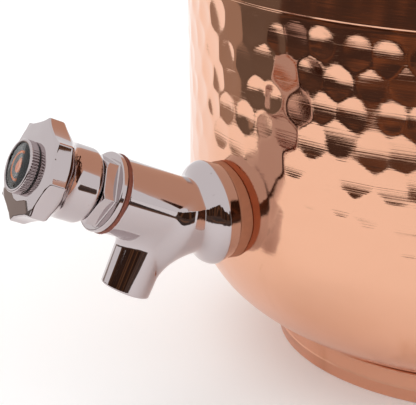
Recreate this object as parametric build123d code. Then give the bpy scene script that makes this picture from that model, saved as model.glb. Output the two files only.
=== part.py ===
"""Hammered copper water pot on a foot ring, with a lift-off lid and a screw-down chrome tap.

Millimetres. The origin is the centre of the foot's resting plane and +Z is up.
The tap points along -Y. Every piece is its own solid, written to parts/NODE.step.
"""
import os
from math import asin, atan2, cos, degrees, radians, sin, sqrt, tan

from build123d import *

os.makedirs("parts", exist_ok=True)

# ---- Pot: spun copper sheet -------------------------------------------------
SHEET = 1.2               # wall thickness
FOOT_R = 72.0             # foot ring at the table
FOOT_HEM = 2.6            # width of the folded hem that stands on the table
FOOT_HEM_H = 3.6
CREASE_R = 73.3           # where the bowl meets the foot ring
CREASE_Z = 12.0
CREASE_BEAD = 0.6         # how far the foot ring's top bead stands out
BELLY_R = 108.2           # where the bowl turns into the wall
BELLY_Z = 58.5
BOWL_ARC_R = BELLY_Z - CREASE_Z
WALL_ARC_R = 1200.0       # the hammered wall opens upwards in a very shallow curve
BAND_Z = 138.0            # scribed line where the plain straight band starts
BODY_TOP_Z = 168.0
SEAM_BEAD_R = 1.4         # bead at the shoulder's lower edge
SHOULDER_ARC_R = 36.0
SHOULDER_TURN = 70.0      # degrees of arc before the straight slope to the neck
NECK_FILLET_R = 10.0
MOUTH_R = 62.0
NECK_H = 14.0             # straight part of the neck
RIM_ROLL_R = 2.0

# ---- Lid ---------------------------------------------------------------------
LID_SHEET = 1.0
LID_GAP = 0.15            # brim above rim
LID_DOME_R = 59.5         # dome's foot
LID_DOME_H = 18.0
LID_BRIM_R = 68.6
LID_LIP_H = 3.0
PLUG_R = 61.2
PLUG_H = 11.0
LID_SCREW_R = 2.5
LID_KNOB_BORE = 12.0
LID_KNOB_FOOT_R = 9.0
LID_KNOB_FOOT_H = 1.2
LID_KNOB_WAIST_R = 4.8
LID_KNOB_WAIST_H = 6.0
LID_KNOB_BALL_R = 10.2
LID_KNOB_BALL_H = 14.0
LID_KNOB_H = 21.0
LID_KNOB_SKIRT = 1.0      # the knob's foot reaches below the dome's top before it is cut to fit
LID_SCREW_PLAY = 0.25

# ---- Tap: stations outwards from the pot's axis, at the height of its tail ---
TAP_Z = 65.0
TAIL_R = 10.48            # G 1/2 thread
TAIL_END = 90.0
WALL_HOLE_R = 10.7
GASKET_R = 16.2
FLANGE_BACK = 111.2
FLANGE_BACK_R = 16.4
FLANGE_EDGE = 115.6
FLANGE_R = 17.8
FLARE_MID = 119.4
FLARE_MID_R = 15.6
NECK_START = 123.5
BEND = 125.1
TAP_TILT = 24.0           # degrees that the barrel rises

# ---- Tap: stations along the barrel's axis, from the bend --------------------
BARREL_R = 12.8
BARREL_END = 28.4
SEAT = 5.0                # rim of the valve seat
CHAMBER_FLOOR = 3.5
CHAMBER_R = 9.3
SEAT_RIM_R = 6.6
ORIFICE_R = 5.0
ORIFICE_DEPTH = 4.0       # how far it runs back past the bend
WATERWAY_R = 6.0
WATERWAY_END = 121.0
HEAD_THREAD_R = 10.45
HEAD_BORE_R = 10.5
HEAD_THREAD_START = 19.0
SPOUT_AT = 9.95
SPOUT_LENGTH = 29.3
SPOUT_TOP_R = 9.3
SPOUT_END_R = 8.5
SPOUT_BORE_R = 6.0
SPOUT_CHAMFER = 0.5
CROTCH_FILLET = 3.0

# ---- Headwork ------------------------------------------------------------------
HEAD_WASHER_T = 1.6
HEAD_WASHER_R = 13.5
BONNET_FLANGE = BARREL_END + HEAD_WASHER_T
BONNET_FLANGE_T = 2.3
BONNET_FLANGE_R = 13.4
BONNET_HEX = 21.0         # across flats
BONNET_HEX_END = 37.2
COLLAR_R = 8.5
COLLAR_END = 45.0
GUIDE_HEX = 12.5          # bonnet's guide, across flats
CARRIAGE_HEX = 12.0
GUIDE_END = 33.0
JOURNAL_BORE_R = 5.0
JOURNAL_R = 4.92
SCREW_R = 3.8
SCREW_START = 18.5
SCREW_BORE_R = 4.1
THRUST_R = 5.9
THRUST_START = 31.5
THRUST_END = 32.95
ORING_SECTION_R = 0.85
ORING_STATIONS = (36.5, 40.5)
CLIP_START = 45.15
CLIP_T = 0.8
CLIP_R = 6.4
DRIVE_R = 4.0
DRIVE_END = 55.4
VALVE_WASHER_T = 4.0
VALVE_WASHER_R = 6.9
VALVE_PLATE_T = 2.0
CARRIAGE_END = 26.0
CARRIAGE_BORE_START = 13.5

# ---- Knob ----------------------------------------------------------------------
LOBES = 8
KNOB_R = 17.6             # to the lobes' points
KNOB_VALLEY_R = 15.3
SLEEVE_R = 12.5
SLEEVE_START = 37.7
SLEEVE_END = 51.3
SLEEVE_ROUND = 1.6
LOBE_BACK = (16.0, 52.1)
LOBE_SHOULDER = 54.0
LOBE_FRONT = 58.7
KNOB_FACE = 59.6
KNOB_FACE_R = 11.0
CAVITY_R = 9.3
CAVITY_END = 47.0
HUB_END = 55.6
KNOB_SCREW_R = 2.0
KNOB_SCREW_HEAD_R = 4.0
SCREW_HEAD_SEAT = 56.0
CAP_SEAT = 57.0
CAP_SEAT_R = 7.55
CAP_BACK = 60.2
CAP_FRONT = 63.0
CAP_R = 8.7
CAP_BORE_R = 6.2
KNURL_COUNT = 54
KNURL_DEPTH = 0.35
BADGE_SEAT = 61.5
BADGE_R = 7.5
BADGE_T = 0.6
LENS_T = 0.5
FIT = 0.03                # radial play between pieces that are fixed together
CUT = 10.0                # how far a cutting tool runs past what it cuts

OUTWARD = Plane(origin=(0, 0, TAP_Z), x_dir=(1, 0, 0), z_dir=(0, -1, 0))
HEAD = Plane(
    origin=(0, -BEND, TAP_Z),
    x_dir=(1, 0, 0),
    z_dir=(0, -cos(radians(TAP_TILT)), sin(radians(TAP_TILT))),
)


# ---- Helpers -------------------------------------------------------------------
def rod(radius, low, high):
    """Cylinder on +Z between two heights."""
    return Pos(0, 0, low) * Cylinder(radius, high - low, align=(Align.CENTER, Align.CENTER, Align.MIN))


def ring(outer, inner, low, high):
    """Flat ring on +Z between two heights."""
    return rod(outer, low, high) - rod(inner, low, high)


def hexagon(across_flats, low, high):
    """Hexagonal prism on +Z between two heights."""
    outline = RegularPolygon(across_flats / 2, 6, major_radius=False)
    return Pos(0, 0, low) * extrude(outline, high - low)


def spun(*edges):
    """Solid of revolution about +Z from a closed outline of edges in (radius, height)."""
    return revolve(Plane.XZ * make_face(Curve() + list(edges)), Axis.Z)


def turned(*points):
    """Solid of revolution about +Z from a closed outline of (radius, height) points."""
    return revolve(Plane.XZ * make_face(Polyline(*points, close=True)), Axis.Z)


def spun_sheet(thickness, *edges):
    """Revolved sheet whose outer face follows the edges; the sheet lies on their left."""
    outline = Wire(list(edges))
    section = offset(outline, amount=thickness, side=Side.LEFT, closed=True)
    return revolve(Plane.XZ * make_face(section), Axis.Z)


def bead(section_r, radius, height):
    """Round bead that runs round the Z axis."""
    return Pos(0, 0, height) * Torus(radius, section_r)


# ---- Pot -----------------------------------------------------------------------
BOWL_CENTRE_R = BELLY_R - BOWL_ARC_R
BOWL_SLOPE = 2 * degrees(atan2(CREASE_R - BOWL_CENTRE_R, BOWL_ARC_R))
WALL_RISE = degrees(asin((BAND_Z - BELLY_Z) / WALL_ARC_R))
BAND_R = BELLY_R + WALL_ARC_R * (1 - cos(radians(WALL_RISE)))


def pot_body():
    """Bottom disc, bowl and wall in one spun sheet, with the tap's hole."""
    bottom = Line((0, CREASE_Z), (CREASE_R, CREASE_Z))
    bowl = CenterArc((BOWL_CENTRE_R, BELLY_Z), BOWL_ARC_R, BOWL_SLOPE - 90, 90 - BOWL_SLOPE)
    slope = Line(bottom @ 1, bowl @ 0)
    wall = CenterArc((BELLY_R + WALL_ARC_R, BELLY_Z), WALL_ARC_R, 180, -WALL_RISE)
    band = Line(wall @ 1, (BAND_R, BODY_TOP_Z))
    shell = spun_sheet(SHEET, bottom, slope, bowl, wall, band)
    return shell - OUTWARD * rod(WALL_HOLE_R, BELLY_R - CUT, BELLY_R + CUT)


def foot_ring():
    """Slightly tapered ring with a folded hem below and a small bead at the crease."""
    lean = (CREASE_R - FOOT_R) / CREASE_Z
    bead_z = CREASE_Z - 2 * CREASE_BEAD
    bead_r = FOOT_R + lean * bead_z
    return spun(
        Line((FOOT_R, 0), (bead_r, bead_z)),
        ThreePointArc(
            (bead_r, bead_z),
            (CREASE_R + CREASE_BEAD, CREASE_Z - CREASE_BEAD),
            (CREASE_R, CREASE_Z),
        ),
        Line((CREASE_R, CREASE_Z), (CREASE_R - SHEET, CREASE_Z)),
        Line((CREASE_R - SHEET, CREASE_Z), (FOOT_R - SHEET + lean * FOOT_HEM_H, FOOT_HEM_H)),
        Line((FOOT_R - SHEET + lean * FOOT_HEM_H, FOOT_HEM_H), (FOOT_R - FOOT_HEM, FOOT_HEM_H)),
        Line((FOOT_R - FOOT_HEM, FOOT_HEM_H), (FOOT_R - FOOT_HEM, 0)),
        Line((FOOT_R - FOOT_HEM, 0), (FOOT_R, 0)),
    )


SLOPE_RISE = radians(90 - SHOULDER_TURN)
NECK_R = MOUTH_R + SHEET
SHOULDER_END = (
    BAND_R - SHOULDER_ARC_R * (1 - cos(radians(SHOULDER_TURN))),
    BODY_TOP_Z + SHOULDER_ARC_R * sin(radians(SHOULDER_TURN)),
)
FILLET_START_R = NECK_R + NECK_FILLET_R * (1 - sin(SLOPE_RISE))
FILLET_START_Z = SHOULDER_END[1] + (SHOULDER_END[0] - FILLET_START_R) * tan(SLOPE_RISE)
NECK_Z = FILLET_START_Z + NECK_FILLET_R * cos(SLOPE_RISE)
RIM_Z = NECK_Z + NECK_H


def shoulder_shell():
    """Shoulder in one spun sheet, with a seam bead over the body's upper edge."""
    shoulder = CenterArc((BAND_R - SHOULDER_ARC_R, BODY_TOP_Z), SHOULDER_ARC_R, 0, SHOULDER_TURN)
    slope = Line(shoulder @ 1, (FILLET_START_R, FILLET_START_Z))
    seam = bead(SEAM_BEAD_R, BAND_R, BODY_TOP_Z + SEAM_BEAD_R)
    inside = rod(BAND_R - SHEET, BODY_TOP_Z, BODY_TOP_Z + 3 * SEAM_BEAD_R)
    return spun_sheet(SHEET, shoulder, slope) + (seam - inside)


def neck_collar():
    """Neck that flares into the shoulder, with a rolled rim round the mouth."""
    fillet_centre = (NECK_R + NECK_FILLET_R, NECK_Z)
    flare = CenterArc(fillet_centre, NECK_FILLET_R, 180 + SHOULDER_TURN, -SHOULDER_TURN)
    neck = Line((NECK_R, NECK_Z), (NECK_R, RIM_Z - RIM_ROLL_R))
    return spun_sheet(SHEET, flare, neck) + bead(RIM_ROLL_R, MOUTH_R + RIM_ROLL_R, RIM_Z - RIM_ROLL_R)


# ---- Lid -----------------------------------------------------------------------
BRIM_Z = RIM_Z + LID_GAP                # underside of the brim
BRIM_TOP = BRIM_Z + LID_SHEET
DOME_ARC_R = (LID_DOME_R**2 + LID_DOME_H**2) / (2 * LID_DOME_H)
DOME_TOP = BRIM_TOP + LID_DOME_H
DOME_CENTRE = DOME_TOP - DOME_ARC_R
DOME_INNER_R = DOME_ARC_R - LID_SHEET


def lid_shell():
    """Shallow dome with a flat brim and a turned-down lip."""
    lip_corner = 1.5 * LID_SHEET
    half_angle = degrees(asin(LID_DOME_R / DOME_ARC_R))
    lip = Line((LID_BRIM_R, BRIM_TOP - LID_LIP_H), (LID_BRIM_R, BRIM_TOP - lip_corner))
    corner = CenterArc((LID_BRIM_R - lip_corner, BRIM_TOP - lip_corner), lip_corner, 0, 90)
    brim = Line((LID_BRIM_R - lip_corner, BRIM_TOP), (LID_DOME_R, BRIM_TOP))
    dome = CenterArc((0, DOME_CENTRE), DOME_ARC_R, 90 - half_angle, half_angle)
    shell = spun_sheet(LID_SHEET, lip, corner, brim, dome)
    return shell - rod(LID_SCREW_R + LID_SCREW_PLAY, DOME_TOP - CUT / 2, DOME_TOP + CUT / 2)


def lid_plug_ring():
    """Ring under the brim that centres the lid in the mouth."""
    return ring(PLUG_R, PLUG_R - LID_SHEET, BRIM_Z - PLUG_H, BRIM_Z)


def lid_knob():
    """Turned knob that sits on the dome, with a blind hole from below."""
    low_z = DOME_TOP - LID_KNOB_SKIRT
    low = (LID_KNOB_FOOT_R, low_z)
    foot = (LID_KNOB_FOOT_R, DOME_TOP + LID_KNOB_FOOT_H)
    waist = (LID_KNOB_WAIST_R, DOME_TOP + LID_KNOB_WAIST_H)
    ball = (LID_KNOB_BALL_R, DOME_TOP + LID_KNOB_BALL_H)
    top = (0, DOME_TOP + LID_KNOB_H)
    blank = spun(
        Line((0, low_z), low),
        Line(low, foot),
        Spline(foot, waist, tangents=[(-1, 0.2), (0, 1)]),
        Spline(waist, ball, tangents=[(0.3, 1), (0, 1)]),
        Spline(ball, top, tangents=[(0, 1), (-1, 0)]),
        Line(top, (0, low_z)),
    )
    dome = Pos(0, 0, DOME_CENTRE) * Sphere(DOME_ARC_R)
    return blank - dome - rod(LID_SCREW_R + FIT, DOME_TOP - 2, DOME_TOP + LID_KNOB_BORE)


LID_WASHER_R = 6.0
LID_WASHER_T = 1.0
LID_SCREW_HEAD_R = 4.5
LID_SCREW_HEAD_H = 2.8
LID_SCREW_HEAD_BEVEL = 0.8
LID_SCREW_SLOT = (5.5, 1.0, 2.6)
LID_WASHER_TOP = DOME_CENTRE + sqrt(DOME_INNER_R**2 - LID_WASHER_R**2)


def lid_knob_washer():
    """Flat washer under the dome."""
    return ring(LID_WASHER_R, LID_SCREW_R + LID_SCREW_PLAY, LID_WASHER_TOP - LID_WASHER_T, LID_WASHER_TOP)


def lid_knob_screw():
    """Pan-head screw with a cross slot, driven up through the dome."""
    head_top = LID_WASHER_TOP - LID_WASHER_T
    head_low = head_top - LID_SCREW_HEAD_H
    bar = Box(*LID_SCREW_SLOT)
    slot = Pos(0, 0, head_low) * (bar + Rot(0, 0, 90) * bar)
    blank = rod(LID_SCREW_HEAD_R, head_low, head_top)
    head = chamfer(blank.edges().group_by(Axis.Z)[0], LID_SCREW_HEAD_BEVEL)
    return head - slot + rod(LID_SCREW_R, head_top, DOME_TOP + LID_KNOB_BORE - 1)


# ---- Tap body and its fixing through the wall ------------------------------------
def pot_solid(inset):
    """Solid inside the wall's outer face near the tap, moved inwards by inset."""
    bowl = CenterArc((BOWL_CENTRE_R, BELLY_Z), BOWL_ARC_R - inset, -45, 45)
    wall = CenterArc((BELLY_R + WALL_ARC_R, BELLY_Z), WALL_ARC_R + inset, 180, -WALL_RISE)
    low = bowl @ 0
    high = wall @ 1
    return spun(
        Line((0, low.Y), low),
        bowl,
        wall,
        Line(high, (0, high.Y)),
        Line((0, high.Y), (0, low.Y)),
    )


def outer_gasket():
    """Rubber gasket pressed between the flange and the curved wall."""
    blank = OUTWARD * ring(GASKET_R, WALL_HOLE_R, BELLY_R - CUT, FLANGE_BACK)
    return blank - pot_solid(0)


INNER_GASKET_T = 3.8
INNER_GASKET_FACE = BELLY_R - SHEET - INNER_GASKET_T
TAIL_WASHER_T = 1.5
TAIL_WASHER_R = 15.5
BACK_NUT_T = 7.0
BACK_NUT_HEX = 29.0       # across flats
BACK_NUT_CORNER_R = 17.0
BACK_NUT_FACE_R = 14.6
BACK_NUT_BEVEL = 1.4


def inner_gasket():
    """Silicone gasket pressed against the inside of the wall."""
    blank = OUTWARD * ring(GASKET_R, WALL_HOLE_R, INNER_GASKET_FACE, BELLY_R)
    return blank & pot_solid(SHEET)


def tail_washer():
    """Flat brass washer behind the inner gasket."""
    low = INNER_GASKET_FACE - TAIL_WASHER_T
    return OUTWARD * ring(TAIL_WASHER_R, WALL_HOLE_R, low, INNER_GASKET_FACE)


def back_nut():
    """Hexagon nut on the tap's threaded tail."""
    high = INNER_GASKET_FACE - TAIL_WASHER_T
    low = high - BACK_NUT_T
    bevelled = turned(
        (0, low),
        (BACK_NUT_FACE_R, low),
        (BACK_NUT_CORNER_R, low + BACK_NUT_BEVEL),
        (BACK_NUT_CORNER_R, high),
        (0, high),
    )
    nut = hexagon(BACK_NUT_HEX, low, high) & bevelled
    return OUTWARD * (nut - rod(TAIL_R + FIT, low, high))


def threaded_tail():
    """Tail with the grooves of a pipe thread."""
    pitch = 1.814
    depth = 0.9
    mouth = 0.6
    plain_end = 6.0
    groove = turned(
        (TAIL_R - depth, 0),
        (TAIL_R, -mouth),
        (TAIL_R + 1, -mouth),
        (TAIL_R + 1, mouth),
        (TAIL_R, mouth),
    )
    tail = rod(TAIL_R, TAIL_END, FLANGE_BACK)
    for turn in range(int((FLANGE_BACK - TAIL_END - plain_end) / pitch)):
        tail -= Pos(0, 0, TAIL_END + (turn + 1) * pitch) * groove
    return tail


def bell():
    """Bell flange with a conical rim, flowing into the round neck."""
    flare = Spline(
        (FLANGE_R, FLANGE_EDGE), (FLARE_MID_R, FLARE_MID), (BARREL_R, NECK_START),
        tangents=[(0, 1), (0, 1)],
    )
    return spun(
        Line((0, FLANGE_BACK), (FLANGE_BACK_R, FLANGE_BACK)),
        Line((FLANGE_BACK_R, FLANGE_BACK), (FLANGE_R, FLANGE_EDGE)),
        flare,
        Line((BARREL_R, NECK_START), (BARREL_R, BEND)),
        Line((BARREL_R, BEND), (0, BEND)),
        Line((0, BEND), (0, FLANGE_BACK)),
    )


def spout():
    """Tapered spout square to the barrel, drawn along -Y of the head frame."""
    cone = Cone(SPOUT_TOP_R, SPOUT_END_R, SPOUT_LENGTH, align=(Align.CENTER, Align.CENTER, Align.MIN))
    tip = chamfer(cone.edges().group_by(Axis.Z)[-1], SPOUT_CHAMFER)
    return Pos(0, 0, SPOUT_AT) * Rot(90, 0, 0) * tip


def waterway():
    """Bores of the tap: tail and blind end outwards, seat, chamber, head thread and spout."""
    inlet = OUTWARD * (
        rod(WATERWAY_R, TAIL_END, WATERWAY_END) + Pos(0, 0, WATERWAY_END) * Sphere(WATERWAY_R)
    )
    chamber = rod(CHAMBER_R, CHAMBER_FLOOR, HEAD_THREAD_START)
    seat = ring(SEAT_RIM_R, ORIFICE_R, CHAMBER_FLOOR, SEAT)
    orifice = rod(ORIFICE_R, -ORIFICE_DEPTH, SEAT)
    head_bore = rod(HEAD_BORE_R, HEAD_THREAD_START - 0.5, BARREL_END)
    outlet = Pos(0, 0, SPOUT_AT) * Rot(90, 0, 0) * rod(SPOUT_BORE_R, SEAT_RIM_R + 0.1, SPOUT_LENGTH)
    return inlet + HEAD * ((chamber - seat) + orifice + head_bore + outlet)


def tap_body():
    """One casting: threaded tail, bell flange, elbow, barrel and spout, with its waterway."""
    elbow = Pos(0, 0, BEND) * Sphere(BARREL_R)
    barrel = rod(BARREL_R, 0, BARREL_END)
    crotch = HEAD * (barrel + spout())
    meeting = crotch.edges().filter_by(GeomType.BSPLINE)
    casting = fillet(meeting, CROTCH_FILLET) + OUTWARD * (threaded_tail() + bell() + elbow)
    return casting - waterway()


# ---- Headwork, drawn along +Z and placed on the barrel ---------------------------
def head_washer():
    """Fibre washer between barrel and bonnet."""
    return HEAD * ring(HEAD_WASHER_R, HEAD_BORE_R, BARREL_END, BONNET_FLANGE)


def headwork_bonnet():
    """Bonnet: screwed lower part, flange, hexagon and collar, with a hexagonal guide inside."""
    flange_end = BONNET_FLANGE + BONNET_FLANGE_T
    edge = 0.5
    bevel = 0.8
    flange = turned(
        (0, BONNET_FLANGE),
        (BONNET_FLANGE_R, BONNET_FLANGE),
        (BONNET_FLANGE_R, flange_end - edge),
        (BONNET_FLANGE_R - edge, flange_end),
        (0, flange_end),
    )
    corner_r = BONNET_HEX / 2 / cos(radians(30))
    bevelled = turned(
        (0, flange_end),
        (corner_r, flange_end),
        (corner_r, BONNET_HEX_END - bevel),
        (corner_r - 2 * bevel, BONNET_HEX_END),
        (0, BONNET_HEX_END),
    )
    nut = hexagon(BONNET_HEX, flange_end, BONNET_HEX_END) & bevelled
    outside = rod(HEAD_THREAD_R, HEAD_THREAD_START, BONNET_FLANGE) + flange + nut
    outside += rod(COLLAR_R, BONNET_HEX_END, COLLAR_END)
    guide = hexagon(GUIDE_HEX, HEAD_THREAD_START, GUIDE_END)
    return HEAD * (outside - guide - rod(JOURNAL_BORE_R, GUIDE_END, COLLAR_END))


def headwork_spindle():
    """Spindle: drive screw, thrust collar, grooved journal and the drive end for the knob."""
    spindle = rod(SCREW_R, SCREW_START, THRUST_START)
    spindle += rod(THRUST_R, THRUST_START, THRUST_END)
    spindle += rod(JOURNAL_R, THRUST_END, CLIP_START)
    spindle += rod(DRIVE_R, CLIP_START, DRIVE_END)
    for station in ORING_STATIONS:
        groove_half = ORING_SECTION_R + 0.1
        groove_r = JOURNAL_R - 2 * ORING_SECTION_R + 0.05
        spindle -= ring(JOURNAL_R + 1, groove_r, station - groove_half, station + groove_half)
    return HEAD * (spindle - rod(KNOB_SCREW_R + FIT, CAVITY_END, DRIVE_END))


def spindle_orings():
    """Two rubber rings in the journal's grooves."""
    centre_r = JOURNAL_R + 0.03 - ORING_SECTION_R + 0.03
    rings = [bead(ORING_SECTION_R, centre_r, station) for station in ORING_STATIONS]
    return HEAD * (rings[0] + rings[1])


def spindle_clip():
    """Open spring clip above the bonnet's collar."""
    clip = ring(CLIP_R, DRIVE_R + FIT, CLIP_START, CLIP_START + CLIP_T)
    gap = Pos(CLIP_R - 1, 0, CLIP_START) * Box(CLIP_R, 2.4, 4 * CLIP_T)
    return HEAD * (clip - gap)


WASHER_END = SEAT + VALVE_WASHER_T
PLATE_END = WASHER_END + VALVE_PLATE_T
VALVE_STUD_R = 2.0


def valve_carriage():
    """Hexagonal carriage with its plate and the stud that carries the rubber washer."""
    stem = hexagon(CARRIAGE_HEX, PLATE_END, CARRIAGE_END)
    plate = rod(VALVE_WASHER_R, WASHER_END, PLATE_END)
    stud = rod(VALVE_STUD_R, SEAT - 2.2, WASHER_END)
    return HEAD * (stem + plate + stud - rod(SCREW_BORE_R, CARRIAGE_BORE_START, CARRIAGE_END))


def valve_washer():
    """Rubber washer that closes on the seat."""
    return HEAD * ring(VALVE_WASHER_R, VALVE_STUD_R + FIT, SEAT, WASHER_END)


def valve_nut():
    """Small nut under the rubber washer, inside the seat's orifice."""
    height = 2.0
    nut = hexagon(6.4, SEAT - height, SEAT) - rod(VALVE_STUD_R + FIT, SEAT - height, SEAT)
    return HEAD * nut


# ---- Knob ------------------------------------------------------------------------
def lobe_outline():
    """Star of points joined by hollow arcs."""
    half = 360 / LOBES / 2
    outline = Curve()
    for lobe in range(LOBES):
        start = Vector(KNOB_R, 0).rotate(Axis.Z, 2 * half * lobe)
        valley = Vector(KNOB_VALLEY_R, 0).rotate(Axis.Z, 2 * half * lobe + half)
        end = Vector(KNOB_R, 0).rotate(Axis.Z, 2 * half * (lobe + 1))
        outline += ThreePointArc(start, valley, end)
    return make_face(outline)


def tap_knob():
    """Knob: eight pointed lobes in front of a round sleeve, hollow from behind."""
    star = Pos(0, 0, SLEEVE_START) * extrude(lobe_outline(), KNOB_FACE - SLEEVE_START)
    envelope = spun(
        Line((0, SLEEVE_START), (SLEEVE_R - SLEEVE_ROUND, SLEEVE_START)),
        CenterArc((SLEEVE_R - SLEEVE_ROUND, SLEEVE_START + SLEEVE_ROUND), SLEEVE_ROUND, -90, 90),
        Line((SLEEVE_R, SLEEVE_START + SLEEVE_ROUND), (SLEEVE_R, SLEEVE_END)),
        ThreePointArc((SLEEVE_R, SLEEVE_END), LOBE_BACK, (KNOB_R, LOBE_SHOULDER)),
        Line((KNOB_R, LOBE_SHOULDER), (KNOB_R, LOBE_FRONT)),
        Line((KNOB_R, LOBE_FRONT), (KNOB_FACE_R, KNOB_FACE)),
        Line((KNOB_FACE_R, KNOB_FACE), (0, KNOB_FACE)),
        Line((0, KNOB_FACE), (0, SLEEVE_START)),
    )
    hollow = rod(CAVITY_R, SLEEVE_START, CAVITY_END)
    hollow += rod(DRIVE_R + FIT, CAVITY_END, HUB_END)
    hollow += rod(KNOB_SCREW_R + 0.2, HUB_END, SCREW_HEAD_SEAT)
    hollow += rod(KNOB_SCREW_HEAD_R + 0.4, SCREW_HEAD_SEAT, CAP_SEAT)
    hollow += rod(CAP_SEAT_R, CAP_SEAT, KNOB_FACE)
    return HEAD * ((star & envelope) - hollow)


def knob_screw():
    """Slotted pan-head screw that holds the knob on the spindle."""
    head_end = SCREW_HEAD_SEAT + 1.8
    slot = Pos(0, 0, head_end) * Box(2 * KNOB_SCREW_HEAD_R + 2, 1.0, 1.8)
    head = rod(KNOB_SCREW_HEAD_R, SCREW_HEAD_SEAT, head_end) - slot
    return HEAD * (head + rod(KNOB_SCREW_R, CAVITY_END + 1, SCREW_HEAD_SEAT))


def cap_ring():
    """Knurled ring that plugs into the knob's face and frames the badge."""
    tooth = 360 / KNURL_COUNT
    corners = []
    for index in range(KNURL_COUNT):
        corners.append(Vector(CAP_R, 0).rotate(Axis.Z, tooth * index))
        corners.append(Vector(CAP_R - KNURL_DEPTH, 0).rotate(Axis.Z, tooth * (index + 0.5)))
    knurled = extrude(make_face(Polyline(*corners, close=True)), CAP_FRONT - CAP_BACK)
    edge = 0.5
    bevelled = turned(
        (0, CAP_BACK),
        (CAP_R, CAP_BACK),
        (CAP_R, CAP_FRONT - edge),
        (CAP_R - edge, CAP_FRONT),
        (0, CAP_FRONT),
    )
    outside = (Pos(0, 0, CAP_BACK) * knurled & bevelled) + rod(CAP_SEAT_R - 0.05, CAP_SEAT, CAP_BACK)
    return HEAD * (outside - rod(CAP_BORE_R, CAP_SEAT, BADGE_SEAT) - rod(BADGE_R + FIT, BADGE_SEAT, CAP_FRONT))


def cap_oring():
    """Thin black ring between the knob's face and the knurled ring."""
    return HEAD * ring(CAP_R - 0.35, CAP_SEAT_R, KNOB_FACE, CAP_BACK)


def badge_disc():
    """Enamelled disc that rests on the cap ring's ledge."""
    return HEAD * rod(BADGE_R, BADGE_SEAT, BADGE_SEAT + BADGE_T)


def badge_lens():
    """Clear cover over the badge."""
    return HEAD * rod(BADGE_R, BADGE_SEAT + BADGE_T, BADGE_SEAT + BADGE_T + LENS_T)


PIECES = (
    pot_body,
    foot_ring,
    shoulder_shell,
    neck_collar,
    lid_shell,
    lid_plug_ring,
    lid_knob,
    lid_knob_washer,
    lid_knob_screw,
    outer_gasket,
    inner_gasket,
    tail_washer,
    back_nut,
    tap_body,
    head_washer,
    headwork_bonnet,
    headwork_spindle,
    spindle_orings,
    spindle_clip,
    valve_carriage,
    valve_washer,
    valve_nut,
    tap_knob,
    knob_screw,
    cap_ring,
    cap_oring,
    badge_disc,
    badge_lens,
)

for piece in PIECES:
    export_step(piece(), f"parts/{piece.__name__}.step")
print(f"{len(PIECES)} pieces; rim at {RIM_Z:.2f}, dome top at {DOME_TOP:.2f}, band radius {BAND_R:.2f}")
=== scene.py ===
# %% [markdown]
# # A hammered copper water pot and its tap
# The pot is spun from copper sheet, planished with a round-faced hammer and polished, so almost
# everything the eye sees on it is a reflection. The tap is a chromed brass casting. This lesson
# builds the visible skins in numpy, gives each one a node material, and keeps the plain inner
# pieces that the CAD frame brings.

# %% Load the frame
import math

import bpy
import numpy as np
import openvdb
from mathutils import Matrix, Vector


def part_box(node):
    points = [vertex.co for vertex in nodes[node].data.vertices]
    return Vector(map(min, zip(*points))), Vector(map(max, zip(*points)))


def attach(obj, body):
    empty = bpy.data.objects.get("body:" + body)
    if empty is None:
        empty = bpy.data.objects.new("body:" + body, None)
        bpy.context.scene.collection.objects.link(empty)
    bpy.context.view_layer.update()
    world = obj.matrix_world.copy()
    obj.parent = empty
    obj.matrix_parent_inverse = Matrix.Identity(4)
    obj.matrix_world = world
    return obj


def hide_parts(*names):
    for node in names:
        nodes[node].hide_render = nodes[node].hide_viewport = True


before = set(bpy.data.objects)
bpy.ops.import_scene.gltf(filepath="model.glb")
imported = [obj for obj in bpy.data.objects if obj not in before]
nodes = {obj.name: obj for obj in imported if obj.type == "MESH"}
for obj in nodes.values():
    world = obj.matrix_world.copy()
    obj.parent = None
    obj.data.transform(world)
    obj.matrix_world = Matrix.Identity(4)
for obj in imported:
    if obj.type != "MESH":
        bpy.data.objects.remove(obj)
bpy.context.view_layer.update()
MM = 0.001

# %% [markdown]
# ## Measures
# Every place comes from the frame's own boxes, in millimetres, so the skins land on the CAD
# pieces. Only fine shapes that a box can't tell, such as a fillet, are given as numbers.

# %% Read the main sizes from the frame
def extent(node):
    """Lowest and highest corner of a CAD node, in millimetres."""
    low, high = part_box(node)
    return np.array(low) / MM, np.array(high) / MM


pot_low, pot_high = extent("pot_body")
BAND_R = pot_high[0]
CREASE_Z = pot_low[2]
BODY_TOP = pot_high[2]
RIM_Z = extent("neck_collar")[1][2]
LID_GAP = 0.15
LID_SHEET = 1.0
BRIM_TOP = RIM_Z + LID_GAP + LID_SHEET
DOME_TOP = extent("lid_shell")[1][2]
TAP_Z = (extent("outer_gasket")[0][2] + extent("outer_gasket")[1][2]) / 2
FLANGE_BACK = -extent("outer_gasket")[0][1]
SHEET = 1.2
print(f"band radius {BAND_R:.1f}, body {CREASE_Z:.1f} to {BODY_TOP:.1f} mm")
print(f"rim {RIM_Z:.1f}, tap at {TAP_Z:.1f} mm")

# %% [markdown]
# ## Two drawing boards for the tap
# A tap is easiest to draw along its own axis. `OUTWARD` looks straight out of the wall, and
# `HEAD` follows the barrel, which rises by 24 degrees after the elbow. A board turns its local
# (x, y, along) into the pot's frame.

# %% Set up the drawing boards
class Board:
    """A local frame: x stays x, and along points out of the pot, raised by tilt degrees."""

    def __init__(self, origin, tilt):
        turn = math.radians(tilt)
        along = np.array([0, -math.cos(turn), math.sin(turn)])
        across = np.array([1.0, 0, 0])
        self.origin = np.array(origin, float)
        self.axes = np.array([across, np.cross(along, across), along])

    def place(self, points):
        return self.origin + np.asarray(points) @ self.axes


BEND = 125.1
TILT = 24.0
POT = Board((0, 0, 0), 90.0)
OUTWARD = Board((0, 0, TAP_Z), 0.0)
HEAD = Board((0, -BEND, TAP_Z), TILT)
print("barrel axis", HEAD.axes[2].round(3))

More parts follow.
